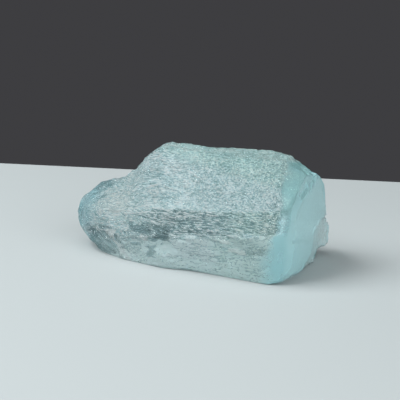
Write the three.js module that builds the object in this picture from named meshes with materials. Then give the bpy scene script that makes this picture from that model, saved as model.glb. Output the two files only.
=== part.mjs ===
// A natural blue topaz crystal, lying on one of its long faces.
// One end is broken square across by the mineral's perfect basal cleavage. The other tapers to a worn nose.
// The long faces are etched and finely ribbed along the length, and a ledge runs low along the back.
// Millimetres, +Z up. X runs from the nose to the cleavage, and Y runs from the front to the back.
import * as THREE from "three";

const { clamp, lerp, smoothstep } = THREE.MathUtils;
const vector = (xyz) => new THREE.Vector3(...xyz);

// ---- driving dimensions ---------------------------------------------------------------------------------

const LENGTH = 51.6; // nose to cleavage
const DEPTH = 27.5; // front to back, with the ledge
const HEIGHT = 23.9; // resting face to the highest ridge
const GRAIN = 0.95; // distance between neighbouring points of the surface

// The ridges are drawn on a crystal of exactly this size, and scaled to the driving dimensions.
const DRAWN = { length: 51.6, depth: 27.5, height: 23.9 };

// ---- the ridges -----------------------------------------------------------------------------------------

// Each ridge is an edge between two long faces. Its points are [x, y, z] from the nose to the cleavage.
// They go round the crystal from the front of the resting face, up the front, over the top and down the back.
const RIDGES = {
  footFront: [
    [-24.8, -2.6, 2.2],
    [-22.4, -3.8, 0.8],
    [-19.5, -4.8, 0],
    [-12.5, -7.0, 0],
    [-3.0, -7.7, 0],
    [3.0, -6.2, 0],
    [19.0, -6.2, 0],
    [23.0, -6.4, 0.3],
  ],
  belly: [
    [-24.8, -3.9, 4.4],
    [-22.4, -6.2, 4.6],
    [-18.0, -7.9, 5.0],
    [-10.0, -8.8, 6.0],
    [-3.0, -9.2, 6.6],
    [10.0, -9.2, 8.6],
    [19.0, -8.6, 9.6],
    [23.0, -6.8, 9.8],
  ],
  brow: [
    [-24.8, -3.9, 7.8],
    [-22.4, -6.0, 9.2],
    [-17.0, -7.7, 10.4],
    [-9.0, -8.5, 11.2],
    [5.4, -8.6, 12.5],
    [14.0, -8.0, 13.5],
    [21.5, -6.6, 14.5],
    [23.0, -5.6, 14.7],
  ],
  topFront: [
    [-24.8, -2.6, 10.4],
    [-23.0, -3.0, 12.4],
    [-19.5, -2.8, 14.0],
    [-14.4, -2.2, 15.6],
    [-12.6, -1.8, 17.0],
    [-8.8, -1.5, 21.2],
    [-5.4, -1.4, 23.0],
    [8.0, -1.4, 23.1],
    [16.5, -1.2, 23.4],
    [20.5, -0.2, 23.0],
    [23.0, 2.4, 20.8],
  ],
  topBack: [
    [-24.8, 0.8, 11.5],
    [-23.0, 1.0, 13.4],
    [-20.0, 1.4, 14.4],
    [-16.2, 2.6, 15.3],
    [-15.0, 3.4, 16.8],
    [-9.2, 3.5, 22.6],
    [-7.0, 3.5, 23.3],
    [4.5, 3.5, 23.6],
    [8.5, 3.5, 23.5],
    [16.5, 3.6, 23.9],
    [20.0, 4.6, 23.0],
    [23.0, 7.0, 20.1],
  ],
  backUpper: [
    [-24.8, 3.4, 9.8],
    [-23.0, 5.2, 11.2],
    [-18.5, 7.0, 12.6],
    [-14.0, 8.4, 14.4],
    [-9.5, 9.6, 16.6],
    [-5.0, 10.2, 17.6],
    [18.0, 10.8, 18.2],
    [23.0, 10.8, 17.0],
  ],
  back: [
    [-24.8, 4.8, 7.4],
    [-22.6, 6.8, 7.6],
    [-16.0, 10.0, 8.2],
    [-6.0, 12.4, 9.4],
    [19.0, 13.2, 10.4],
    [23.0, 12.9, 10.2],
  ],
  shelfTop: [
    [-24.8, 4.9, 6.0],
    [-22.6, 6.8, 6.0],
    [-16.0, 10.0, 6.2],
    [-6.0, 12.2, 7.2],
    [5.0, 13.0, 7.9],
    [10.0, 14.2, 7.6],
    [16.0, 16.8, 6.8],
    [22.0, 18.0, 6.6],
    [23.0, 17.6, 6.5],
  ],
  shelfFoot: [
    [-24.8, 4.7, 4.6],
    [-22.6, 6.2, 4.4],
    [-16.0, 9.4, 4.2],
    [-6.0, 11.6, 4.4],
    [5.0, 12.4, 4.2],
    [10.0, 13.6, 3.2],
    [16.0, 16.4, 2.2],
    [22.0, 17.5, 1.8],
    [23.0, 17.0, 1.9],
  ],
  backLower: [
    [-24.8, 3.6, 3.0],
    [-22.6, 4.8, 2.4],
    [-15.0, 8.4, 1.6],
    [14.0, 11.4, 1.6],
    [19.0, 11.8, 2.2],
    [23.0, 11.6, 2.4],
  ],
  footBack: [
    [-24.8, 1.0, 2.0],
    [-22.4, 1.8, 0.8],
    [-18.5, 3.0, 0],
    [-8.0, 6.2, 0],
    [14.0, 8.4, 0],
    [19.0, 9.6, 0],
    [23.0, 10.0, 0.2],
  ],
};

// How many columns of points cross the face that starts at each ridge. Their sum is a multiple of four.
const FACE_COLUMNS = {
  footFront: 10,
  belly: 7,
  brow: 12,
  topFront: 5,
  topBack: 10,
  backUpper: 8,
  back: 4,
  shelfTop: 5,
  shelfFoot: 4,
  backLower: 3,
  footBack: 8,
};
const RIDGE_NAMES = Object.keys(FACE_COLUMNS);
const RESTING_FACE = "footBack";
const FACE_OF_COLUMN = RIDGE_NAMES.flatMap((name) => Array(FACE_COLUMNS[name]).fill(name));
const COLUMNS = FACE_OF_COLUMN.length;

// ---- noise ----------------------------------------------------------------------------------------------

// A number from 0 to 1 that is always the same for the same three whole numbers.
function hash(i, j, k) {
  const mixed = Math.sin(i * 127.1 + j * 311.7 + k * 74.7) * 43758.5453;
  return mixed - Math.floor(mixed);
}

// Smooth noise from -1 to 1.
function noise(x, y, z) {
  const [i, j, k] = [Math.floor(x), Math.floor(y), Math.floor(z)];
  const [u, v, w] = [x - i, y - j, z - k].map((t) => smoothstep(t, 0, 1));
  const edge = (dj, dk) => lerp(hash(i, j + dj, k + dk), hash(i + 1, j + dj, k + dk), u);
  return 2 * lerp(lerp(edge(0, 0), edge(1, 0), v), lerp(edge(0, 1), edge(1, 1), v), w) - 1;
}

// ---- relief of the long faces ---------------------------------------------------------------------------

// Each kind of relief has a size along the crystal and across it, a depth, and a seed of its own.
const LUMPS = { along: 3.2, across: 2.2, depth: 0.06, seed: 4.2 };
const RIBS = { along: 8, across: 2.1, depth: 0.08, seed: 31.7 };
const TERRACES = { along: 11, across: 4.6, depth: 0.2, seed: 17.3 };
const RAGGED = { along: 3, across: 1.6, depth: 0.25, seed: 8.1 }; // it makes the terraces' edges uneven
const RISERS = [-0.35, 0.1, 0.45]; // the levels of noise at which a terrace steps up to the next
const RISER_WIDTH = 0.2;

// round is the distance round the crystal, and x the distance along it.
const relief = (kind, x, round) => noise(x / kind.along, round / kind.across, kind.seed);

// How high the skin stands above the flat face.
function etching(x, round) {
  const level = relief(TERRACES, x, round) + RAGGED.depth * relief(RAGGED, x, round);
  const treads = RISERS.map((riser) => smoothstep(level, riser - RISER_WIDTH / 2, riser + RISER_WIDTH / 2));
  const terraces = TERRACES.depth * (treads.reduce((sum, tread) => sum + tread) - 1);
  const ribs = RIBS.depth * (1 - 2 * Math.abs(relief(RIBS, x, round)));
  return LUMPS.depth * relief(LUMPS, x, round) + ribs + terraces;
}

// ---- damage ---------------------------------------------------------------------------------------------

// Where small pieces have broken off flat: a point on each break, and the direction that it faces.
const BREAKS = [
  { at: [-21.5, -5.0, 2.2], facing: [-0.5, -0.6, -0.62] },
  { at: [-22.0, 4.0, 2.2], facing: [-0.5, 0.5, -0.7] },
  { at: [-24.0, -0.6, 12.6], facing: [-0.66, -0.1, 0.74] },
  { at: [-20.0, 7.0, 11.8], facing: [-0.6, 0.55, 0.58] },
  { at: [22.4, -6.4, 1.4], facing: [0.6, -0.6, -0.53] },
];

// Where shell-shaped chips have come out: the surface before it broke, and the size of the hollow's ball.
const CHIPS = [
  { at: [-0.8, -9.5, 6.8], facing: [-0.1, -0.85, -0.5], radius: 4.5, depth: 0.5 },
  { at: [-15.5, -7.8, 2.6], facing: [-0.15, -0.85, -0.5], radius: 6, depth: 0.8 },
  { at: [6.0, 9.4, 19.0], facing: [0, 0.7, 0.7], radius: 7, depth: 1.0 },
  { at: [-12.0, 11.6, 7.0], facing: [-0.2, 0.95, -0.2], radius: 8, depth: 1.1 },
];

function breakOff(p) {
  for (const { at, facing } of BREAKS) {
    const outward = vector(facing).normalize();
    const proud = p.clone().sub(vector(at)).dot(outward);
    if (proud > 0) p.addScaledVector(outward, -proud);
  }
  for (const { at, facing, radius, depth } of CHIPS) {
    const ball = vector(at).addScaledVector(vector(facing).normalize(), radius - depth);
    const fromBall = p.clone().sub(ball);
    if (fromBall.length() < radius) p.copy(ball).addScaledVector(fromBall.normalize(), radius);
  }
}

// ---- the long faces -------------------------------------------------------------------------------------

const NOSE_X = RIDGES.brow[0][0];
const CLEAVAGE_X = RIDGES.brow.at(-1)[0];
const ROWS = Math.round((CLEAVAGE_X - NOSE_X) / GRAIN);

// A ridge's point at x, between the two points of the ridge that it lies between.
function ridgeAt(name, x) {
  const points = RIDGES[name];
  const last = points.length - 1;
  const next = points.findIndex((q, n) => n > 0 && (q[0] >= x || n === last));
  const [a, b] = [vector(points[next - 1]), vector(points[next])];
  return a.lerp(b, clamp((x - a.x) / (b.x - a.x), 0, 1));
}

// One ring of points round the crystal at x.
function ring(x) {
  return RIDGE_NAMES.flatMap((name, face) => {
    const from = ridgeAt(name, x);
    const to = ridgeAt(RIDGE_NAMES[(face + 1) % RIDGE_NAMES.length], x);
    const columns = FACE_COLUMNS[name];
    return Array.from({ length: columns }, (_, n) => from.clone().lerp(to, n / columns));
  });
}

// ---- the two ends ---------------------------------------------------------------------------------------

const CLEAVAGE_SWELL = 1.5; // how far the middle of the cleavage stands out past its rim
const CLEAVAGE_FULLNESS = 3.5; // the higher this is, the nearer to the rim the swell stays level
const NOSE_SWELL = 2.2;
const SOFT_RIM = 0.12; // the share of the cleavage's radius over which its relief fades to the rim
// The step crosses the upper front corner in a line with slow bends.
const CLEAVAGE_STEP = { height: 0.45, at: 15.9, width: 0.7, slope: 0.55, bend: 0.6, bendSize: 5 };
// The end of the ledge lies a little behind the cleavage: everything further back and lower than this.
const LEDGE_END = { from: 12.2, under: 10, edge: 2.2, setback: 0.3 };
const CLEAVAGE_WAVES = { height: 0.12, size: 4 };
// Behind its lower half the cleavage breaks off, down to a rough shelf that lies deeper in the crystal.
const SHELF = { depth: 1.0, edge: 0.9, wander: 0.7, wanderSize: 1.8 };
// How far back the shelf starts: next to the foot, over most of its height, and at its top.
const SHELF_START = { foot: 3.0, middle: 6.4, top: 10.4 };
// The heights between which that changes. Above the last one there is no shelf.
const SHELF_HEIGHT = { foot: 1.6, middleLow: 3.0, middleHigh: 7.0, top: 9.4 };

// How much of the shelf's depth there is at a point of the cleavage, from 0 to 1.
function shelfShare({ y, z }) {
  const { foot, middleLow, middleHigh, top } = SHELF_HEIGHT;
  const lower = lerp(SHELF_START.foot, SHELF_START.middle, smoothstep(z, foot, middleLow));
  const start = lerp(lower, SHELF_START.top, smoothstep(z, middleHigh, top));
  const behind = y - start + SHELF.wander * noise(y / SHELF.wanderSize, z / SHELF.wanderSize, 23);
  return smoothstep(behind, -SHELF.edge / 2, SHELF.edge / 2) * smoothstep(top - z, 0, SHELF.edge);
}

// How far the cleavage stands out of the plane of its rim, from its middle (share 0) to the rim (share 1).
function cleavageRelief(p, share) {
  const { height, at, width, slope, bend, bendSize } = CLEAVAGE_STEP;
  const across = p.z - slope * p.y + bend * noise(p.y / bendSize, p.z / bendSize, 3);
  const step = height * smoothstep(across, at, at + width);
  const waves = CLEAVAGE_WAVES.height * noise(p.y / CLEAVAGE_WAVES.size, p.z / CLEAVAGE_WAVES.size, 11);
  const swell = CLEAVAGE_SWELL * (1 - share ** CLEAVAGE_FULLNESS);
  const { from, under, edge, setback } = LEDGE_END;
  const onLedge = smoothstep(p.y, from, from + edge) * smoothstep(under - p.z, 0, edge);
  const broken = swell + waves - step - SHELF.depth * shelfShare(p);
  return lerp(broken, -setback, onLedge) * smoothstep(1 - share, 0, SOFT_RIM);
}

const noseRelief = (_, share) => NOSE_SWELL * (1 - share ** 2);

// The square grid that fills a rim of points, by blending its four sides.
function patch(rim) {
  const side = rim.length / 4;
  const at = (n) => rim[(n + rim.length) % rim.length];
  const grid = [];
  for (let j = 0; j <= side; j++)
    for (let i = 0; i <= side; i++) {
      const [u, v] = [i / side, j / side];
      const p = at(i).clone().multiplyScalar(1 - v);
      p.addScaledVector(at(3 * side - i), v);
      p.addScaledVector(at(-j), 1 - u);
      p.addScaledVector(at(side + j), u);
      p.addScaledVector(at(0), -(1 - u) * (1 - v));
      p.addScaledVector(at(side), -u * (1 - v));
      p.addScaledVector(at(2 * side), -u * v);
      p.addScaledVector(at(3 * side), -(1 - u) * v);
      grid.push(p);
    }
  return grid;
}

// Closes the ring that starts at firstOfRing. outward is 1 towards +X and -1 towards -X.
function closeEnd(points, quad, firstOfRing, outward, reliefAt) {
  const rim = points.slice(firstOfRing, firstOfRing + COLUMNS);
  const side = COLUMNS / 4;
  const middle = rim.reduce((sum, p) => sum.add(p), new THREE.Vector3()).divideScalar(COLUMNS);
  const reach = Math.max(...rim.map((p) => p.distanceTo(middle)));
  const index = patch(rim).map((p, n) => {
    const [i, j] = [n % (side + 1), Math.floor(n / (side + 1))];
    if (j === 0) return firstOfRing + i;
    if (i === side) return firstOfRing + side + j;
    if (j === side) return firstOfRing + 3 * side - i;
    if (i === 0) return firstOfRing + 4 * side - j;
    const inset = Math.min(i, j, side - i, side - j) / (side / 2);
    p.x += outward * reliefAt(p, Math.min(1 - inset, p.distanceTo(middle) / reach));
    points.push(p);
    return points.length - 1;
  });
  for (let j = 0; j < side; j++)
    for (let i = 0; i < side; i++) {
      const a = j * (side + 1) + i;
      const corners = [a, a + 1, a + side + 2, a + side + 1].map((n) => index[n]);
      quad(...(outward > 0 ? corners.reverse() : corners));
    }
}

// ---- the crystal ----------------------------------------------------------------------------------------

const END_ROWS = 4; // the etching fades over this many rows next to each end

function buildCrystal() {
  const points = [];
  const triangles = [];
  // A four-sided face is split along its shorter diagonal.
  const quad = (a, b, c, d) => {
    const splitAtA = points[a].distanceTo(points[c]) <= points[b].distanceTo(points[d]);
    triangles.push(...(splitAtA ? [a, b, c, a, c, d] : [a, b, d, b, c, d]));
  };

  for (let row = 0; row <= ROWS; row++) points.push(...ring(lerp(NOSE_X, CLEAVAGE_X, row / ROWS)));
  const longFacePoints = points.length;
  for (let row = 0; row < ROWS; row++)
    for (let column = 0; column < COLUMNS; column++) {
      const a = row * COLUMNS + column;
      const b = row * COLUMNS + ((column + 1) % COLUMNS);
      quad(a, a + COLUMNS, b + COLUMNS, b);
    }
  closeEnd(points, quad, ROWS * COLUMNS, 1, cleavageRelief);
  closeEnd(points, quad, 0, -1, noseRelief);

  // The etching moves the long faces' points along the smooth outward direction. The resting face stays flat.
  const geometry = new THREE.BufferGeometry();
  geometry.setAttribute("position", new THREE.Float32BufferAttribute(points.flatMap((p) => p.toArray()), 3));
  geometry.setIndex(triangles);
  geometry.computeVertexNormals();
  const outward = geometry.getAttribute("normal");
  for (let n = 0; n < longFacePoints; n++) {
    const [row, column] = [Math.floor(n / COLUMNS), n % COLUMNS];
    if (FACE_OF_COLUMN[column] === RESTING_FACE || column === 0) continue;
    const fade = smoothstep(Math.min(row, ROWS - row), 0, END_ROWS);
    const height = fade * etching(points[n].x, column * GRAIN);
    points[n].add(new THREE.Vector3().fromBufferAttribute(outward, n).multiplyScalar(height));
  }
  points.forEach((p, n) => {
    breakOff(p);
    p.z = Math.max(p.z, 0);
    p.set((p.x * LENGTH) / DRAWN.length, (p.y * DEPTH) / DRAWN.depth, (p.z * HEIGHT) / DRAWN.height);
    geometry.getAttribute("position").setXYZ(n, p.x, p.y, p.z);
  });
  geometry.computeVertexNormals();
  return geometry;
}

const crystal = new THREE.Mesh(
  buildCrystal(),
  new THREE.MeshStandardMaterial({ color: 0xa5cdd1, roughness: 0.45, metalness: 0 }),
);
crystal.name = "topaz_crystal";

// The origin is the middle of the box round the crystal, on the surface that it rests on.
const box = new THREE.Box3().setFromObject(crystal);
const middle = box.getCenter(new THREE.Vector3());
crystal.position.set(-middle.x, -middle.y, -box.min.z);

const specimen = new THREE.Group();
specimen.add(crystal);
export default specimen;
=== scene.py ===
# %% [markdown]
# # A natural blue topaz crystal
# The crystal is one piece. It lies on one of its long faces, on a plain pale floor. A solid model
# already has its size and its main shapes. This script gives it what is finer than the solid's
# facets, and its material: clear pale blue inside, etched and frosted outside.
#
# All points are in the solid's own frame: X runs along the crystal from the nose to the cleavage,
# Y from the front to the back, and Z up. Blender works in metres, so a length in millimetres is
# multiplied by `MM`.

import itertools
import math

import bmesh
import bpy
import numpy as np
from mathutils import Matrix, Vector


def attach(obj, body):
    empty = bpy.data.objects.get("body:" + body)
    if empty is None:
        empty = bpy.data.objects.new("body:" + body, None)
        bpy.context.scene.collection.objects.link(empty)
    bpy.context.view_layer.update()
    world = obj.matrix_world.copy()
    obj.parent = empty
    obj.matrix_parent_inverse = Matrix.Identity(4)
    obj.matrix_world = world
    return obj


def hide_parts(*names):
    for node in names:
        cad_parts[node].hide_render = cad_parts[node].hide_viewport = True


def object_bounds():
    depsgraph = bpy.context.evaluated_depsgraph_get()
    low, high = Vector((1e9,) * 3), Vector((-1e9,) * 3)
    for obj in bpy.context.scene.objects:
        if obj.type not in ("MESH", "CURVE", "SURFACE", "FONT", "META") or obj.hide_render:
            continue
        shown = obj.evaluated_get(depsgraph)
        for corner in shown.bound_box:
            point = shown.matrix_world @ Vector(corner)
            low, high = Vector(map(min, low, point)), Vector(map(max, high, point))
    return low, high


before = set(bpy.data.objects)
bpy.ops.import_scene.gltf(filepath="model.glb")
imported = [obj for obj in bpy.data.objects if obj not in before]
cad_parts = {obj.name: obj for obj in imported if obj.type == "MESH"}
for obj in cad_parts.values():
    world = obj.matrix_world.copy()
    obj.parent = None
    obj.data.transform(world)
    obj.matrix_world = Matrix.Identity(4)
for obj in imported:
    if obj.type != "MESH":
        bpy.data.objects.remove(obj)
solid_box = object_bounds()
MM = 0.001
low, high = (np.array(corner) for corner in solid_box)
print("solid, mm:", ((high - low) / MM).round(1))

# %% [markdown]
# ## The camera
# The camera comes first, because every later choice is judged through it. It stands to the right
# of the crystal's front and a little above it. It is close, so that the cleavage end looks larger
# than the nose. A camera aims along its own -Z axis, and `to_track_quat` turns it so that this axis
# points at the target.

# %% Camera
AZIMUTH = math.radians(29.5)
ELEVATION = math.radians(15.5)
DISTANCE = 220 * MM
LENS = 95.8  # millimetres, on a sensor 36 mm wide
AIM = Vector((0.6, 0.2, 11.5)) * MM
NEAREST = 10 * MM  # nothing closer than this is drawn


def direction(azimuth, elevation):
    """The direction from the crystal towards something. Azimuth 0 is straight in front of it."""
    return Vector((math.sin(azimuth) * math.cos(elevation),
                   -math.cos(azimuth) * math.cos(elevation),
                   math.sin(elevation)))


def place_facing_crystal(thing, toward, distance):
    thing.location = AIM + toward * distance
    thing.rotation_euler = (-toward).to_track_quat("-Z", "Y").to_euler()
    bpy.context.scene.collection.objects.link(thing)


camera = bpy.data.objects.new("camera", bpy.data.cameras.new("camera"))
camera.data.lens = LENS
camera.data.clip_start = NEAREST
place_facing_crystal(camera, direction(AZIMUTH, ELEVATION), DISTANCE)
bpy.context.scene.camera = camera
print("camera at, mm:", [round(v / MM, 1) for v in camera.location])

# %% [markdown]
# ## Writing node trees as formulas
# A material is a tree of nodes. Making each node by hand hides the sums that the tree works out.
# Here a `Wire` stands for a node's output, and `+`, `-` and `*` on it add the Math node, so that a
# mask such as `1 - polish` is written as it is thought. Every other node comes from `Bench.node`.


# %% Wire: an output that can stand in a sum
class Wire:
    """A node's output. Each operation on it adds the Math node that works it out."""

    def __init__(self, bench, socket):
        self.bench, self.socket = bench, socket

    def _math(self, operation, first, second):
        return self.bench.node("ShaderNodeMath", {"operation": operation}, {0: first, 1: second})

    def __add__(self, other):
        return self._math("ADD", self, other)

    def __sub__(self, other):
        return self._math("SUBTRACT", self, other)

    def __mul__(self, other):
        return self._math("MULTIPLY", self, other)

    def __rsub__(self, other):
        return self._math("SUBTRACT", other, self)

    __radd__ = __add__
    __rmul__ = __mul__


# %% Bench: where nodes are made
class Bench:
    """A material's or world's node tree, empty at first."""

    def __init__(self, owner):
        owner.use_nodes = True
        self.tree = owner.node_tree
        self.tree.nodes.clear()

    def node(self, kind, settings=None, inputs=None, output=0):
        """Adds a node: its settings first, then a value or a Wire for each socket.

        Returns the output that is asked for.
        """
        made = self.tree.nodes.new(kind)
        for name, value in (settings or {}).items():
            if name == "stops":
                self._set_stops(made.color_ramp, value)
            else:
                setattr(made, name, value)
        for name, value in (inputs or {}).items():
            if isinstance(value, Wire):
                self.tree.links.new(value.socket, made.inputs[name])
            else:
                made.inputs[name].default_value = value
        return Wire(self, made.outputs[output]) if made.outputs else None

    @staticmethod
    def _set_stops(ramp, stops):
        while len(ramp.elements) < len(stops):
            ramp.elements.new(1)
        for element, (place, color) in zip(ramp.elements, stops):
            element.position, element.color = place, (*color, 1)


operations = [name for name in vars(Wire) if name.startswith("__") and name != "__init__"]
print("a wire knows:", operations)

# %% [markdown]
# ## The floor
# The floor is a plain pale sheet. It ends behind the crystal, and past its edge there is only the
# dark world. That matters for a clear thing: what it shows is mostly what stands behind and around
# it.
#
# The lights are strong and the floor's own colour is a middle grey. The crystal gets its light from
# the lamps as well as through its back, so this makes it bright next to the floor, as a clear thing
# in a bright room is.

# %% Floor
FLOOR_EDGE = 68 * MM  # from the crystal's middle to the edge behind it
FLOOR_TURN = math.radians(18.4)  # the edge is turned this far from the crystal's length
FLOOR_REACH = 1200 * MM  # to the sides and to the front
FLOOR_COLOR = (0.303, 0.338, 0.345, 1)
FLOOR_ROUGHNESS = 0.7
FLOOR_GAP = 0.02 * MM  # so that the two surfaces don't lie in one plane

floor_mesh = bpy.data.meshes.new("floor")
side, back = FLOOR_REACH, FLOOR_EDGE
corners = [(-side, -side, 0), (side, -side, 0), (side, back, 0), (-side, back, 0)]
floor_mesh.from_pydata(corners, [], [(0, 1, 2, 3)])
floor = bpy.data.objects.new("floor", floor_mesh)
floor.rotation_euler.z = FLOOR_TURN
floor.location.z = -FLOOR_GAP
bpy.context.scene.collection.objects.link(floor)

floor_paint = bpy.data.materials.new("floor")
floor_mesh.materials.append(floor_paint)
bench = Bench(floor_paint)
surface = bench.node("ShaderNodeBsdfPrincipled", {},
                     {"Base Color": FLOOR_COLOR, "Roughness": FLOOR_ROUGHNESS})
bench.node("ShaderNodeOutputMaterial", {}, {"Surface": surface})
print("floor's edge behind the crystal, mm:", round(FLOOR_EDGE / MM, 1))

# %% [markdown]
# ## The light
# A large light close to a small thing gives wide, soft highlights. The main light is on the left,
# where it rakes the etched faces and brings out their grain. A weaker one from above lights the
# top, and the one on the right fills the cleavage. The world is dark grey, and the Standard view
# transform leaves the colours as they are worked out.

# %% World and lights
WORLD_COLOR = (0.048, 0.048, 0.052, 1)
# name, azimuth, elevation, distance in metres, size in metres, watts
LIGHTS = [("window", -50, 50, 0.6, 0.4, 6.5),
          ("overhead", 10, 80, 0.7, 0.6, 2.0),
          ("fill", 62, 20, 0.6, 0.6, 4.4)]

world = bpy.data.worlds.new("studio")
bpy.context.scene.world = world
bench = Bench(world)
glow = bench.node("ShaderNodeBackground", {}, {"Color": WORLD_COLOR, "Strength": 1.0})
bench.node("ShaderNodeOutputWorld", {}, {"Surface": glow})
bpy.context.scene.view_settings.view_transform = "Standard"

for name, azimuth, elevation, distance, size, power in LIGHTS:
    lamp = bpy.data.objects.new(name, bpy.data.lights.new(name, "AREA"))
    lamp.data.size, lamp.data.energy = size, power
    lamp.visible_camera = False
    toward = direction(math.radians(azimuth), math.radians(elevation))
    place_facing_crystal(lamp, toward, distance)
print("lights:", [light[0] for light in LIGHTS])

# %% [markdown]
# ## A finer mesh of the same shape
# The solid's facets are about a millimetre across, and the real skin has pits, ribs and steps of a
# few tenths. The facets are joined into four-sided faces and subdivided with the Catmull-Clark
# rule, which rounds them off and gives points a quarter of a millimetre apart.
#
# A crystal's ridges are crisp, so where two faces meet at a clear angle their edge is creased,
# which keeps it from being rounded as much. The front corner of the cleavage and the end of the
# ledge are left out: they are worn round.

# %% Join the facets and crease the ridges
RIDGE_ANGLE = math.radians(22)
RIDGE_CREASE = 0.55
JOIN_ANGLE = math.radians(60)
SAME_PLACE = 0.001 * MM
WORN_X = 22  # the worn places are past this
WORN_FRONT_Y, WORN_LEDGE_Y = -5, 8  # the corner is in front of one, and the ledge behind the other

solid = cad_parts["topaz_crystal"]
fine = bmesh.new()
fine.from_mesh(solid.data)
bmesh.ops.remove_doubles(fine, verts=fine.verts, dist=SAME_PLACE)
bmesh.ops.join_triangles(fine, faces=fine.faces, angle_face_threshold=JOIN_ANGLE,
                         angle_shape_threshold=JOIN_ANGLE)


def is_worn(edge):
    middle = (edge.verts[0].co + edge.verts[1].co) / 2 / MM
    return middle.x > WORN_X and not WORN_FRONT_Y <= middle.y <= WORN_LEDGE_Y


crease = fine.edges.layers.float.new("crease_edge")
ridges = [edge for edge in fine.edges
          if edge.calc_face_angle(0) > RIDGE_ANGLE and not is_worn(edge)]
for edge in ridges:
    edge[crease] = RIDGE_CREASE
print("faces:", len(fine.faces), "creased edges:", len(ridges))

# %% Subdivide
LEVELS = 2

body_mesh = bpy.data.meshes.new("crystal_body")
fine.to_mesh(body_mesh)
fine.free()
body = bpy.data.objects.new("crystal_body", body_mesh)
bpy.context.scene.collection.objects.link(body)
rounder = body.modifiers.new("rounder", "SUBSURF")
rounder.levels = rounder.render_levels = LEVELS
rounded = body.evaluated_get(bpy.context.evaluated_depsgraph_get())
body.data = bpy.data.meshes.new_from_object(rounded)
body.modifiers.clear()
skin = body.data
print("triangles:", sum(len(polygon.vertices) - 2 for polygon in skin.polygons))

# %% [markdown]
# ## Tools for sculpting with formulas
# A sculptor would press the pits and ribs in with brushes. Here each is a formula over all the
# points at once, so that it can be changed and run again. The formulas need three things: where
# each point is, which way the skin faces there, and noise, which is what makes a formula look grown
# instead of drawn.
#
# Most formulas are masks: numbers from 0 to 1 at each point. From here on, all lengths are in
# millimetres, and a normal's X, Y and Z go from -1 to 1.


# %% Where the points are and which way they face
def read(data, name):
    values = np.empty(len(data) * 3)
    data.foreach_get(name, values)
    return values.reshape(-1, 3)


points = read(skin.vertices, "co") / MM
normals = read(skin.vertices, "normal")
x, y, z = points.T
print("points:", len(points), "from", points.min(0).round(1), "to", points.max(0).round(1))


# %% A ramp, a bell and the strongest of several masks
def smoothstep(value, start, end):
    """0 before start, 1 after end, and a soft ramp between them.

    start may be the larger one, for a ramp downwards.
    """
    t = np.clip((value - start) / (end - start), 0, 1)
    return t * t * (3 - 2 * t)


def strongest(*masks):
    return np.maximum.reduce(masks)


def bell(value, middle, width):
    """1 in the middle, falling off softly to both sides."""
    return np.exp(-((value - middle) / width) ** 2)


print("a ramp at 0, 0.3, 0.5 and 1:", smoothstep(np.array([0, 0.3, 0.5, 1]), 0, 1).round(2))


# %% Smooth noise
SCRAMBLERS = (73856093, 19349663, 83492791)  # large odd numbers mix up a cell's place
LAST_SCRAMBLER = 1274126177
LARGEST = 0xFFFFFFFF  # of the mixed numbers
SEED_SHIFT = 17.31  # each seed looks at another part of the same noise


def scatter(cell):
    """A number from 0 to 1 for each cell of a grid. It looks random and is the same each time."""
    i, j, k = (axis * scrambler for axis, scrambler in zip(cell.T, SCRAMBLERS))
    mixed = i ^ j ^ k
    mixed = ((mixed ^ (mixed >> 13)) * LAST_SCRAMBLER) & LARGEST
    return (mixed ^ (mixed >> 16)) / LARGEST


def noise(grain, seed):
    """Smooth noise from -1 to 1 at each point. grain is the size of its lumps along X, Y and Z."""
    scaled = points / np.array(grain) + seed * SEED_SHIFT
    cell = np.floor(scaled).astype(np.int64)
    part = scaled - cell
    part = part * part * (3 - 2 * part)
    total = np.zeros(len(points))
    for corner in itertools.product((0, 1), repeat=3):
        nearness = np.prod(np.where(corner, part, 1 - part), axis=1)
        total += (2 * scatter(cell + corner) - 1) * nearness
    return total


sample = noise((1, 1, 1), 0)
print("noise goes from", sample.min().round(2), "to", sample.max().round(2))

# %% [markdown]
# ## The worn corner
# Handling has rounded the front corner of the cleavage. A hand would rub it down, and this loop
# does the same: again and again it moves each point a little towards the middle of its neighbours.

# %% Rub the front corner down
RUBS = 110
RUB_STEP = 0.5  # the share of the way that a point moves each time
RUBBED_X, RUBBED_Y = (19.5, 21.5), (-4, -6.5)
RUBBED_TOP, RUBBED_FOOT = (19, 16), (0.1, 1.5)

joined = np.empty(len(skin.edges) * 2, dtype=np.int64)
skin.edges.foreach_get("vertices", joined)
pairs = joined.reshape(-1, 2)
one, other = np.concatenate([pairs, pairs[:, ::-1]]).T  # each edge, seen from both of its ends
neighbours = np.bincount(one, minlength=len(points))
rubbed = smoothstep(x, *RUBBED_X) * smoothstep(y, *RUBBED_Y)
rubbed = rubbed * smoothstep(z, *RUBBED_TOP) * smoothstep(z, *RUBBED_FOOT)
for _ in range(RUBS):
    middles = [np.bincount(one, points[other, axis], len(points)) / neighbours for axis in range(3)]
    points += RUB_STEP * rubbed[:, None] * (np.stack(middles, axis=1) - points)
skin.vertices.foreach_set("co", (points * MM).ravel())
skin.update()
normals = read(skin.vertices, "normal")
toward_end, toward_front = normals[:, 0], -normals[:, 1]
print("rubbed share of the skin:", rubbed.mean().round(3))

# %% [markdown]
# ## The cleavage
# Topaz breaks in two ways, and both show. Across its length it parts along a perfect cleavage,
# which is smooth and matte. Everywhere else hot fluids have etched its skin.
#
# Each region is a mask, built from where the point is and which way it faces. The mask could be
# painted by hand, but a formula follows the shape when the shape changes. A little noise makes its
# border ragged, because nothing on a rough crystal ends in a straight line.

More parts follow.
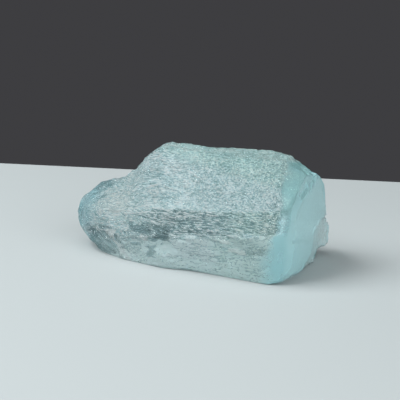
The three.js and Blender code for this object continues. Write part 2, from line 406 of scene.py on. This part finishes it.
# %% Where the skin is smooth
CLEAVAGE_X = 22.9  # where the etching stops
CORNER_X = 20.9  # and lower down on the front, where the corner has broken away with the cleavage
ABOVE_CORNER, BEHIND_CORNER = (4.0, 9.5), (-9, -6)  # Z and Y where that corner ends
FADE, CORNER_FADE = 1.0, 5.0  # how gradually the etching stops
RIBS_REACH = 1.0  # the ribs of the dark band reach this much further round the corner
BAND_END_FOOT, BAND_END_TOP, BAND_END_Y = (9.5, 10.5), (17, 15.5), (-7, -8.5)
END_X = (22, 23)
FACING_END = (0.35, 0.6)  # the X of the normal

ragged = 0.5 * noise((1.5, 1.5, 1.5), 11) + 0.3 * noise((0.8, 0.6, 0.5), 10)
beside_band = smoothstep(z, *BAND_END_FOOT) * smoothstep(z, *BAND_END_TOP)
beside_band = beside_band * smoothstep(y, *BAND_END_Y)
off_corner = strongest(smoothstep(z, *ABOVE_CORNER), smoothstep(y, *BEHIND_CORNER))
border = CORNER_X + (CLEAVAGE_X - CORNER_X) * off_corner + RIBS_REACH * beside_band
fade = CORNER_FADE + (FADE - CORNER_FADE) * off_corner
facing_end = smoothstep(toward_end, *FACING_END)
facing_end = facing_end * smoothstep(x + ragged - RIBS_REACH * beside_band, *END_X)
past_border = smoothstep(x + 0.6 * ragged, border - fade / 2, border + fade / 2)
polish = strongest(past_border, facing_end)
print("cleavage, share of the skin:", polish.mean().round(3))

# %% The bevel above the cleavage
BEVEL_Z, BEVEL_TURN = (13, 15), (0.93, 0.85)  # the turn is a normal's X
BEVEL_ETCHING = 0.35

bevel = facing_end * smoothstep(z, *BEVEL_Z) * smoothstep(toward_end, *BEVEL_TURN)
polish *= 1 - BEVEL_ETCHING * bevel
print("bevel, share of the skin:", bevel.mean().round(3))

# %% [markdown]
# ## The shelf behind the cleavage
# At the back the cleavage has broken down to a rough shelf. The solid has the shelf, with soft
# edges, so here the edge only gets a sharp little drop. The shelf starts nearer the front at its
# foot and nearer the back at its top. The end of the ledge is next to it, and is a little rough.

# %% Shelf
SHELF_Y = 2.2  # where it starts, over most of its height
FOOT_FORWARD, FOOT_Z = 3.4, (3.0, 1.6)  # it starts this much further forward at its foot
TOP_BACKWARD, TOP_Z = 4.0, (7.0, 9.9)  # and this much further back at its top
SHELF_EDGE, SHELF_TOP = (-0.15, 0.15), (9.9, 9.4)
SHELF_FACING, SHELF_END_Y, SHELF_X = (0.3, 0.6), (10.0, 7.0), 20
SHELF_ETCHING = 0.35
LEDGE_Y, LEDGE_X = (6.5, 8.0), 19

shelf_start = SHELF_Y - FOOT_FORWARD * smoothstep(z, *FOOT_Z) + TOP_BACKWARD * smoothstep(z, *TOP_Z)
shelf = smoothstep(y - shelf_start + 0.8 * ragged, *SHELF_EDGE) * smoothstep(z, *SHELF_TOP)
shelf *= smoothstep(toward_end, *SHELF_FACING) * smoothstep(y + 1.5 * ragged, *SHELF_END_Y)
shelf *= x > SHELF_X
polish *= 1 - SHELF_ETCHING * shelf
ledge_end = smoothstep(y, *LEDGE_Y) * (x > LEDGE_X)
print("shelf, share of the skin:", shelf.mean().round(3))

# %% [markdown]
# ## The rim and the foot
# The rim of the cleavage is nicked at the back and at the foot. It is found from the normals: it is
# where the skin turns away from the end of the crystal. The foot is chipped more finely. What is
# neither smooth nor near the resting face is etched.

# %% Rim, foot and etched skin
RIM_OUTSIDE, RIM_INSIDE = (0.2, 0.4), (0.97, 0.85)  # the X of the normal
RIM_BACK_Y, RIM_FOOT_Y, RIM_FOOT_Z = (-1, 1), (-8, -6), (3.0, 1.5)
FOOT_X, FOOT_Y, FOOT_TOP = (21.5, 22.5), (-9.5, -7.5), (1.5, 0.6)
CORNER_TURN = (0.99, 0.8)  # a normal's X, where the cleavage turns over
RESTING_EDGE = (0.15, 0.6)

rim = smoothstep(toward_end, *RIM_OUTSIDE) * smoothstep(toward_end, *RIM_INSIDE) * (x > LEDGE_X)
rim_foot = smoothstep(z, *RIM_FOOT_Z) * smoothstep(y, *RIM_FOOT_Y)
rim *= strongest(smoothstep(y, *RIM_BACK_Y), rim_foot)
foot = smoothstep(z, *FOOT_TOP) * smoothstep(x, *FOOT_X) * smoothstep(y, *FOOT_Y)
# Where the cleavage turns over, and on the bevel, the colour gets painted shade.
corner = strongest(polish * smoothstep(toward_end, *CORNER_TURN), bevel)
etched = (1 - polish) * smoothstep(z, *RESTING_EDGE)
print("shares of the skin: rim", rim.mean().round(3), "etched", etched.mean().round(3))

# %% [markdown]
# ## The front faces
# Two ridges run along the front and rise slowly towards the cleavage. Between them lies a dark
# band. The face tilts down there, and it is deeply ribbed, so it sends little light back; that
# shade is painted into its colour. Its upper edge is crisp, because it is a ridge, and its lower
# edge wanders. Below it the skin is calmer, and it is painted paler with light reflected from the
# floor.

# %% The band between the two front ridges
BROW_Z, BROW_RISE = 12.5, 0.105  # the upper front ridge: its height in the middle, and its slope
BELLY_Z, BELLY_RISE = 7.0, 0.17  # and the lower one
FACING_FRONT = (0.3, 0.6)
BAND_TOP, BAND_FOOT, BAND_START = (-0.1, 0.35), (-0.6, 0.4), (-8, -2)
BELOW_TOP = (-0.4, 0.6)

brow = BROW_Z + BROW_RISE * x
belly = BELLY_Z + BELLY_RISE * x
front = smoothstep(toward_front, *FACING_FRONT) * (y < 0)
wander = 0.8 * noise((3.0, 2.0, 1.2), 12) + 0.4 * noise((0.9, 0.6, 0.5), 13)
under_brow = smoothstep(brow - z + 0.15 * wander, *BAND_TOP)
over_belly = smoothstep(z - belly + wander, *BAND_FOOT)
band = front * under_brow * over_belly * smoothstep(x, *BAND_START)
below = front * smoothstep(belly - z + wander, *BELOW_TOP)
print("shares of the skin: band", band.mean().round(3), "below it", below.mean().round(3))

# %% [markdown]
# ## Patches
# Some things are in one place only: a facet that lies another way, a splintered area, a flake. Each
# is a patch with four ragged sides, because breaks in a crystal follow its straight directions.

# %% A ragged patch on the front
PATCH_EDGE = (0.7, 1.0)  # where a patch fades, as shares of its reach
FLAKE_Z, FLAKE_HIGH = 5.5, 1.2


def patch(x_at, z_at, wide, high, rough=0.6, seed=20):
    """A mask on the front of the crystal. wide and high are its reach to each side."""
    reach = np.maximum(np.abs(x - x_at) / wide, np.abs(z - z_at) / high)
    edge = noise((1.8, 1.0, 0.7), seed) + 0.5 * noise((0.6, 0.5, 0.35), seed + 0.5)
    return (y < 0) * (1 - smoothstep(reach + rough * edge, *PATCH_EDGE))


splintered = patch(-14.5, 3, 6.5, 3.5, seed=21)
flake = patch(-13.5, FLAKE_Z, 1.5, FLAKE_HIGH, 0.4, seed=23)
plate = patch(6, 5.5, 5.5, 2.7, 0.45, seed=30)
print("shares: splintered", splintered.mean().round(3), "plate", plate.mean().round(3))

# %% [markdown]
# ## Etching, ribs and growth steps
# Three kinds of relief cover the long faces. Etch pits are small and round. Ribs are long and thin,
# and run along the crystal. Growth steps are flat treads with short risers: a soft noise is cut
# into levels to make them. They are moved points and not a bump in the material, because they show
# on the outline and catch shadows. Below the band and at the nose they are shallower.

# %% Relief of the long faces
PIT_DEPTH = 0.10
RIB_DEPTH = 0.07
BAND_RIB_DEPTH = 0.08  # on top of the others, in the dark band
STEP_HEIGHT = 0.16
RISERS = ((0.0, 0.08), (0.35, 0.43))  # the levels of the noise at which the skin steps up
CALM_BELOW, CALM_NOSE, NOSE_START = 0.5, 0.6, (20, 23)

pits = noise((0.6, 0.5, 0.5), 1) + 0.8 * noise((1.1, 0.8, 0.8), 2)
ribs = noise((4.0, 0.6, 0.6), 3) + 0.6 * noise((2.4, 0.45, 0.45), 4)
level = noise((7.0, 2.2, 2.2), 5) + 0.3 * noise((2.0, 0.9, 0.9), 6)
steps = sum(smoothstep(level, *riser) for riser in RISERS) - 1
calm_nose = 1 - CALM_NOSE * smoothstep(-x, *NOSE_START)
depth = etched * (1 - CALM_BELOW * strongest(below, plate)) * calm_nose
rib_depth = RIB_DEPTH + BAND_RIB_DEPTH * band
height = depth * (PIT_DEPTH * pits + rib_depth * ribs + STEP_HEIGHT * steps)
print("etching, mm:", height.min().round(2), "to", height.max().round(2))

# %% [markdown]
# ## Splinters
# Near the nose the lower front is splintered. Space is split into irregular cells, long along one
# slanting direction, and each cell is a splinter with a number of its own, which says how high it
# stands. This is the idea of a Voronoi texture, worked out here for the mesh.

# %% Splinters
AXIS_SHIFT, NUMBER_SHIFT = 31, 101  # a splinter's place and its number don't depend on each other


def splinter_numbers(place, grain, seed):
    """Splits space into irregular splinters and gives each its own number from 0 to 1."""
    scaled = place / np.array(grain)
    home = np.floor(scaled).astype(np.int64)
    nearest, number = np.full(len(place), np.inf), np.zeros(len(place))
    for step in itertools.product((-1, 0, 1), repeat=3):
        cell = home + step
        heart = np.stack([scatter(cell + seed + axis * AXIS_SHIFT) for axis in range(3)], axis=1)
        gap = ((scaled - cell - heart) ** 2).sum(axis=1)
        number = np.where(gap < nearest, scatter(cell + seed + NUMBER_SHIFT), number)
        nearest = np.minimum(nearest, gap)
    return number


SLANT = math.radians(49)  # the splinters point this far down
BRIGHT_ROW, BRIGHT_WIDTH, BRIGHT_FROM = -7, 0.7, 0.35  # one row of them gets a painted highlight

down_slant = x * math.cos(SLANT) - z * math.sin(SLANT)
across_slant = x * math.sin(SLANT) + z * math.cos(SLANT)
slanted = np.stack([down_slant, y, across_slant], axis=1) + 0.3 * ragged[:, None]
shard = splinter_numbers(slanted, (2.6, 1.2, 0.8), 22)
glint_splinters = splintered * bell(across_slant, BRIGHT_ROW, BRIGHT_WIDTH) * (shard > BRIGHT_FROM)
print("splinters that stand high:", (shard > 0.6).mean().round(2))

# %% [markdown]
# ## Small facets that lean towards the light
# A few tiny facets on the lower front catch the light. Each leans: it starts level with the skin
# along its top and stands out most along its bottom. The flake near the nose does the same. Their
# whiteness in the colour is a painted highlight.

# %% Leaning facets
FACET_PLACES = ((13.5, 8.2), (15, 6.4), (16.5, 6.2), (-4.5, 6.2))  # X and Z
FACET_WIDE, FACET_HIGH = 1.2, 0.55
FACET_RISE = 0.3


def leaning(facet, z_at, high):
    """How far a facet stands out: 0 along its top and 1 along its bottom."""
    return facet * np.clip((z_at + high - z) / (2 * high), 0, 1)


# Where these facets are, the colour is whitened later as a painted highlight.
glint_facets = np.zeros(len(points))
lean = leaning(flake, FLAKE_Z, FLAKE_HIGH)
for x_at, z_at in FACET_PLACES:
    facet = patch(x_at, z_at, FACET_WIDE, FACET_HIGH, 0.2, seed=31)
    glint_facets = strongest(glint_facets, facet)
    lean = strongest(lean, leaning(facet, z_at, FACET_HIGH))
print("leaning facets, share of the skin:", glint_facets.mean().round(4))

# %% [markdown]
# ## All the damage together
# The rim has lost small nicks and the foot has fine chips. A thin plate stands proud on the lower
# front, the shelf drops at its edge, and the top dips a little behind its corner above the nose.
# Each adds to the height of the skin, or takes from it.

# %% Add up the heights
NICK_DEPTH = 1.1
CHIP_DEPTH = 0.4
SPLINTER_HEIGHT, SPLINTER_LEVEL = 0.6, 0.6  # splinters with a number above the level stand out
PLATE_HEIGHT = 0.18
SHELF_DROP = 0.35
TOP_HOLLOW, HOLLOW_Z, HOLLOW_START, HOLLOW_END = 0.4, (21.5, 23), (-5.5, -3.5), (9, 4)
BROKEN_ROUGHNESS = 0.12
LOWEST, HIGHEST = -1.3, 0.3

nicks = smoothstep(noise((1.5, 1.3, 1.3), 7) + 0.4 * noise((0.6, 0.6, 0.6), 8), -0.1, 0.35)
chips = smoothstep(noise((0.7, 0.7, 0.7), 9), -0.1, 0.25)
hollow = smoothstep(z, *HOLLOW_Z) * smoothstep(x, *HOLLOW_START) * smoothstep(x, *HOLLOW_END)
height -= NICK_DEPTH * rim * nicks + CHIP_DEPTH * foot * chips + TOP_HOLLOW * hollow
height += SPLINTER_HEIGHT * splintered * (shard - SPLINTER_LEVEL) * etched
height += PLATE_HEIGHT * plate + FACET_RISE * lean
height -= SHELF_DROP * shelf + BROKEN_ROUGHNESS * pits * strongest(shelf, ledge_end)
height = np.clip(height, LOWEST, HIGHEST)
print("with the damage, mm:", height.min().round(2), "to", height.max().round(2))

# %% Move the points along their normals
moved = points + normals * height[:, None]
moved[:, 2] = np.maximum(moved[:, 2], 0)  # the resting face stays flat
skin.vertices.foreach_set("co", (moved * MM).ravel())
skin.polygons.foreach_set("use_smooth", [True] * len(skin.polygons))
skin.update()
print("highest point, mm:", moved[:, 2].max().round(2))

# %% [markdown]
# ## Painted shade
# A clear crystal looks dark where a face sends its light away from the eye, or where the skin is so
# rough inside the ribs that the light doesn't come back. Here that shade is painted into the
# colour.
# In the band it is strongest in the middle. A few single facets get darker painted shade, almost
# slate grey, because they lie another way than the faces round them; the dark splinters, the two
# bevels and the skin below the band near the corner get some too. The numbers in front say how dark
# a place is, from 0 to 1.

# %% Painted shade of the band and of single facets
BAND_MIDDLE, BAND_SPREAD = 2, 8.5
SHADY_X = (-10.5, -12.5)
DARK_SHARDS = 0.55  # splinters with a number above this get dark painted shade, and the others a little
CORNER_SHADE_X = (14, 18)  # towards the corner, the skin below the band gets a little painted shade

# Painted shade in the band, darkest in its middle, and on a patch near the nose.
dark = band * (1 - plate) * (0.6 + 0.4 * bell(x, BAND_MIDDLE, BAND_SPREAD))
dark = strongest(dark, 0.8 * patch(-18.5, 5.5, 2.8, 1.0, seed=26))

nose_bevel = patch(-20.5, 13.5, 4.0, 1.6, seed=33)
shady = splintered * smoothstep(x, *SHADY_X) * (1 - strongest(flake, glint_splinters))
# Painted shade on facets that lie another way, on the dark splinters, below the band near the
# corner, on the nose bevel and on the bevel.
slate = strongest(patch(-0.5, 7.7, 2.0, 1.7, 0.3, seed=24),
                  patch(-5.4, 8, 3.2, 1.1, 0.55, seed=25),
                  0.8 * patch(-7, 4.5, 1.6, 0.4, 0.4, seed=28),
                  0.8 * patch(-3.3, 3.5, 1.1, 1.4, 0.7, seed=29),
                  shady * np.where(shard > DARK_SHARDS, 1, 0.4),
                  0.14 * below * smoothstep(x, *CORNER_SHADE_X) * (1 - polish),
                  0.6 * nose_bevel,
                  0.25 * bevel)
print("shares of the skin: dark", dark.mean().round(3), "slate", slate.mean().round(3))

# %% [markdown]
# ## Fine lines on the cleavage
# A cleavage is not quite plain: a curved line crosses it, where the crack changed its level, and a
# short seam runs down its worn corner. They are only faint darker lines. The curved one is part of
# a circle.

# %% Arc and seam
ARC_CENTER, ARC_RADIUS, ARC_WIDTH = (-8.5, -6.9), 15.4, 0.26  # Y and Z
ARC_START, ARC_END = (-8.2, -7.3), (0, -1.5)
SEAM_Y, SEAM_WIDTH = -10.25, 0.24
SEAM_FOOT, SEAM_TOP = (4.6, 5.2), (7.2, 6.6)

from_center = np.hypot(y - ARC_CENTER[0], z - ARC_CENTER[1])
arc = bell(from_center, ARC_RADIUS, ARC_WIDTH)
arc *= smoothstep(y, *ARC_START) * smoothstep(y, *ARC_END)
seam = bell(y + 0.1 * noise((1, 1, 0.6), 34), SEAM_Y, SEAM_WIDTH)
seam *= smoothstep(z, *SEAM_FOOT) * smoothstep(z, *SEAM_TOP)
# The faint crack lines of the cleavage go into the same mask as the painted shade.
slate = strongest(slate, 0.4 * polish * arc, 0.2 * polish * seam)
print("arc, share of the skin:", (polish * arc).mean().round(4))

# %% [markdown]
# ## Milky places and painted highlights
# Where topaz is bruised or freshly broken, countless tiny cracks scatter the light and it looks
# milky: on the flake, the plate, the end of the ledge, the nicks, the chipped foot and some of the
# splinters. The shelf is only a little milky. The same whitening also paints highlights: on the
# leaning facets and the bright row of splinters it stands for light that they catch, and on the
# flake and the nicks partly so.

# %% Milky skin and painted highlights
MILKY_NICKS = (16, 12)  # the nicks are milky below this height
MILKY_SHARDS = 0.22  # so are the splinters with a number below this

# Milky whiteness, and painted highlights on the leaning facets, the bright splinters, the flake and
# the nicks.
milky = strongest(flake,
                  glint_facets,
                  0.9 * glint_splinters,
                  0.8 * rim * nicks * smoothstep(z, *MILKY_NICKS),
                  0.8 * foot,
                  0.55 * plate,
                  0.4 * splintered * (shard < MILKY_SHARDS),
                  0.12 * shelf,
                  0.45 * ledge_end)
print("milky, share of the skin:", milky.mean().round(3))

# %% [markdown]
# ## Tints
# The colour isn't even. The nose and the lower corner of the cleavage are bluer, the top and the
# right of the front are greener, and the top of the nose is warmer. Above the band and at the upper
# left a cool sheen with a touch of lavender is painted in as a highlight, and the plate has a pale
# lavender tone of its own. Each is a weak tint of its own.

# %% Blue, and the painted lavender sheen
NOSE_TIP = (17, 21)
UPPER_EDGE, UPPER_REACH, UPPER_FADE = (-0.1, 0.4), 5, (0, 4)
SHOULDER, SHOULDER_START, SHOULDER_END = (0, 3), (-11, -7), (6, 0)

nose_tip = smoothstep(-x, *NOSE_TIP)
low_on_cleavage = bell(y, -8, 3) * bell(z, 5, 3) * polish
blue = strongest(nose_tip, 0.6 * nose_bevel, 0.25 * low_on_cleavage)

# Above the band and at the upper left, the lavender is a painted sheen.
above_band = (1 - band) * smoothstep(z - brow, *UPPER_EDGE)
above_band *= smoothstep(brow + UPPER_REACH - z, *UPPER_FADE)
upper_left = etched * smoothstep(z - brow, *SHOULDER)
upper_left *= smoothstep(x, *SHOULDER_START) * smoothstep(x, *SHOULDER_END)
lavender = strongest(plate, above_band * bell(x, 7, 9), 0.7 * upper_left)
print("shares of the skin: blue", blue.mean().round(3), "lavender", lavender.mean().round(3))

# %% Warm and green
TOP_SLOPE, TOP_EDGE = 0.15, (20.5, 23.5)  # the green of the top reaches lower near the cleavage
GREEN_BAND, GREEN_BELOW = (10, 18), (8, 14)

warm = etched * (y < 0) * bell(x, -13, 5) * bell(z, 11.5, 2.5)

green = smoothstep(z + TOP_SLOPE * x, *TOP_EDGE) + band * smoothstep(x, *GREEN_BAND)
green += 0.5 * below * smoothstep(x, *GREEN_BELOW)
green = strongest(np.clip(green, 0, 1) * (1 - polish), bevel)
print("shares of the skin: warm", warm.mean().round(3), "green", green.mean().round(3))

# %% [markdown]
# ## Handing the masks to the material
# A mesh can carry a number at each point, an attribute, and a material can read it by name. That is
# simpler than an image: it needs no unwrapping, and it stays with the mesh. Two more masks say
# where the grain is drawn out into streaks, and where the skin is calm. The calm skin is also
# painted paler, and below the band that paleness is painted light from the floor.

# %% Store the masks on the mesh
RIBBED_LEAST, RIBBED_X = 0.15, (8, -6)

ribbed = np.clip(RIBBED_LEAST + 0.8 * smoothstep(x, *RIBBED_X) + band, 0, 1)
# Calm skin: below the band it is also painted paler, as light reflected from the floor.
quiet = strongest(below, plate, 0.6 * shelf)
masks = {"polish": polish, "corner": corner, "ribbed": ribbed, "quiet": quiet, "dark": dark,
         "slate": slate, "milky": milky, "lavender": lavender, "warm": warm, "blue": blue,
         "green": green}
for name, values in masks.items():
    skin.attributes.new(name, "FLOAT", "POINT").data.foreach_set("value", values.astype(float))
print("attributes:", list(masks))

# %% [markdown]
# ## The frosted grain
# Under a lens the etched skin is a field of tiny facets. They are too small for the mesh, so they
# are noise in the material: round frost on the right, and streaks along the crystal on the left and
# in the band. The `ribbed` mask mixes the two. Slower noise lets patches of it be a little lighter
# or darker.

# %% Grain
FROST_SIZE, FROST_STRETCH = 0.19, 2.2  # millimetres across, and times as long along X
STREAK_SIZE, STREAK_STRETCH = 0.2, 7
PATCH_SIZE, PATCH_STRETCH, PATCH_CONTRAST = 2.4, 2, 0.25

topaz = bpy.data.materials.new("pale_blue_topaz")
bench = Bench(topaz)
place = bench.node("ShaderNodeTexCoord", {}, {}, "Object")
mask = {name: bench.node("ShaderNodeAttribute", {"attribute_name": name}, {}, "Fac")
        for name in masks}


def stretched(size, stretch):
    """Coordinates that count in lumps of this size, which are stretch times as long along X."""
    lumps = (1 / (stretch * size * MM), 1 / (size * MM), 1 / (size * MM))
    return bench.node("ShaderNodeVectorMath", {"operation": "MULTIPLY"}, {0: place, 1: lumps})


def speckle(size, stretch, detail=2):
    """Noise from 0 to 1."""
    return bench.node("ShaderNodeTexNoise", {}, {
        "Vector": stretched(size, stretch), "Scale": 1.0, "Detail": detail, "Roughness": 0.65})


frost = speckle(FROST_SIZE, FROST_STRETCH)
streaks = speckle(STREAK_SIZE, STREAK_STRETCH)
patches = speckle(PATCH_SIZE, PATCH_STRETCH)
grain = frost + (streaks - frost) * mask["ribbed"]
mottle = grain + (patches - 0.5) * PATCH_CONTRAST
print("nodes so far:", len(bench.tree.nodes))

# %% [markdown]
# ## Growth lines and cracks
# Thin dark lines wander over the etched faces like the contour lines of a map, and they are made
# the same way: a line is drawn wherever a soft noise passes through its middle value. The calmer
# lower front has a net of fine cracks. A Voronoi texture gives the distance to the nearest border
# between its cells, and the cracks are where it is small.


# %% Contour lines
def limited(value, start, end, low=0.0, high=1.0):
    """Goes from low to high while the value goes from start to end, and stays there."""
    return bench.node("ShaderNodeMapRange", {}, {
        "Value": value, "From Min": start, "From Max": end, "To Min": low, "To Max": high})


CONTOUR_SIZE, CONTOUR_STRETCH, CONTOUR_DETAIL = 1.1, 3, 3
LINE_CORE, LINE_EDGE = 0.006, 0.022  # distances from the middle value

contour = speckle(CONTOUR_SIZE, CONTOUR_STRETCH, CONTOUR_DETAIL)
from_middle = bench.node("ShaderNodeMath", {"operation": "ABSOLUTE"}, {0: contour - 0.5})
lines = limited(from_middle, LINE_CORE, LINE_EDGE, 1.0, 0.0) * (1 - mask["polish"])
print("nodes so far:", len(bench.tree.nodes))

# %% Net of cracks
NET_SIZE, NET_STRETCH = 1.6, 2.5
BEND_SCALE = 2.5  # noise bends the net, or its cracks would be straight
CRACK_CORE, CRACK_EDGE, CRACK_STRENGTH = 0.02, 0.06, 0.5
CRACKED_FROM, CRACKED_TO = 0.45, 0.55  # only some patches are cracked

net = stretched(NET_SIZE, NET_STRETCH)
bend = bench.node("ShaderNodeTexNoise", {}, {"Vector": net, "Scale": BEND_SCALE, "Detail": 2.0},
                  "Color")
net = bench.node("ShaderNodeVectorMath", {"operation": "ADD"}, {0: net, 1: bend})
from_crack = bench.node("ShaderNodeTexVoronoi", {"feature": "DISTANCE_TO_EDGE"},
                        {"Vector": net, "Scale": 1.0})
here_and_there = limited(patches, CRACKED_FROM, CRACKED_TO)
cracks = limited(from_crack, CRACK_CORE, CRACK_EDGE, CRACK_STRENGTH, 0.0) * here_and_there
cracks = cracks * mask["quiet"] * (1 - mask["polish"])
print("nodes so far:", len(bench.tree.nodes))

# %% [markdown]
# ## The colour of the skin
# The skin lets light through, so its colour is a filter: white lets all through, and a darker one
# holds light back. The ramp paints shade into the bottom of each pit, dark blue-green, and a
# highlight on its edge, nearly white.
# Then each mask has its turn: it blends towards a colour, or it tints what is there.

# %% Blend and tint
# painted shade in the bottom of each pit, and a painted highlight on its edge
PIT_SHADE_GLINT_RAMP = [(0.36, (0.24, 0.47, 0.50)), (0.48, (0.68, 0.94, 0.97)), (0.60, (0.93, 1.0, 1.0))]


def blend(color, amount, other, kind="MIX"):
    """The colour mixed with another, as far as the amount says."""
    return bench.node("ShaderNodeMix", {"data_type": "RGBA", "blend_type": kind},
                      {"Factor": amount, 6: color, 7: (*other, 1)}, 2)


def tint(color, amount, other):
    return blend(color, amount, other, "MULTIPLY")


color = bench.node("ShaderNodeValToRGB", {"stops": PIT_SHADE_GLINT_RAMP}, {0: mottle})
# The calm skin is blended paler: below the band this is painted light from the floor, and on the
# plate and shelf their own paler tone.
color = blend(color, mask["quiet"] * 0.9, (0.82, 1.0, 1.0))
color = blend(color, mask["warm"] * 0.5, (0.94, 1.0, 0.97))
color = blend(color, mask["polish"], (0.59, 0.96, 1.0))
# milky whiteness, and painted highlights on facets, splinters, the flake and the nicks
color = blend(color, mask["milky"], (0.93, 1.0, 1.0))
# painted sheen: the lavender mask lightens towards white
color = blend(color, mask["lavender"] * 0.15, (1.0, 1.0, 1.0))
print("nodes so far:", len(bench.tree.nodes))

# %% Tints and painted shade, the faint ones first
GAP_EDGE, GAP_CORE = 0.55, 0.44  # the band's painted shade lies in the gaps between the streaks
LEAST_DARK = 0.05  # what is left of it on the streaks

rib_shade = limited(streaks, GAP_CORE, GAP_EDGE, 1.0, LEAST_DARK)
color = tint(color, mask["green"], (0.90, 1.0, 0.95))
# the lavender mask: painted sheen, and on the plate its own tint
color = tint(color, mask["lavender"], (0.94, 0.985, 1.0))
# painted shade where the cleavage turns over and on the bevel
color = tint(color, mask["corner"], (0.78, 0.89, 0.91))
color = tint(color, mask["blue"], (0.74, 0.93, 0.98))
color = tint(color, lines * 0.5, (0.3, 0.45, 0.45))
color = tint(color, cracks, (0.35, 0.5, 0.5))
# painted shade of the band, in the gaps between its ribs
color = tint(color, mask["dark"] * rib_shade, (0.22, 0.30, 0.31))
# painted shade on single facets, and the faint crack lines of the cleavage
color = tint(color, mask["slate"], (0.32, 0.42, 0.44))
print("nodes so far:", len(bench.tree.nodes))

# %% [markdown]
# ## Clear topaz
# The same grain also drives a bump, which tilts the light as the tiny facets do. It fades where the
# skin is smooth.
#
# Topaz is clear and bends light more than glass does: that is its index of refraction. Its pale
# blue comes from the light that it takes up on the way through, so it is deeper where the crystal
# is thicker: that is the absorption in the volume. Roughness blurs what is seen through the skin. A
# part of the light doesn't get through at all, and is scattered at the frosted surface: that is
# what a transmission below 1 does.

# %% Bump, surface and volume
BUMP_DEPTH = 0.7 * MM
LINE_DEPTH, CRACK_DEPTH = 0.12, 0.12  # as shares of the bump's depth
QUIET_CALM = 0.8
ROUGHNESS = 0.24
TOPAZ_IOR = 1.62
TRANSMISSION = 0.7
TOPAZ_BLUE = (0.45, 0.85, 0.9, 1)
BLUE_DENSITY = 4.0  # per metre

frosted = (1 - mask["polish"]) * (1 - mask["quiet"] * QUIET_CALM)
relief = (grain - lines * LINE_DEPTH) * frosted - cracks * CRACK_DEPTH
bump = bench.node("ShaderNodeBump", {},
                  {"Strength": 1.0, "Distance": BUMP_DEPTH, "Height": relief})
surface = bench.node("ShaderNodeBsdfPrincipled", {}, {
    "Base Color": color,
    "Roughness": ROUGHNESS,
    "IOR": TOPAZ_IOR,
    "Transmission Weight": TRANSMISSION,
    "Normal": bump,
})
inside = bench.node("ShaderNodeVolumeAbsorption", {},
                    {"Color": TOPAZ_BLUE, "Density": BLUE_DENSITY})
bench.node("ShaderNodeOutputMaterial", {}, {"Surface": surface, "Volume": inside})
skin.materials.clear()
skin.materials.append(topaz)
print("nodes in all:", len(bench.tree.nodes))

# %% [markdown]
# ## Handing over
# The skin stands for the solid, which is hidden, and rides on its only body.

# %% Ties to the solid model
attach(body, "root")
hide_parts("topaz_crystal")
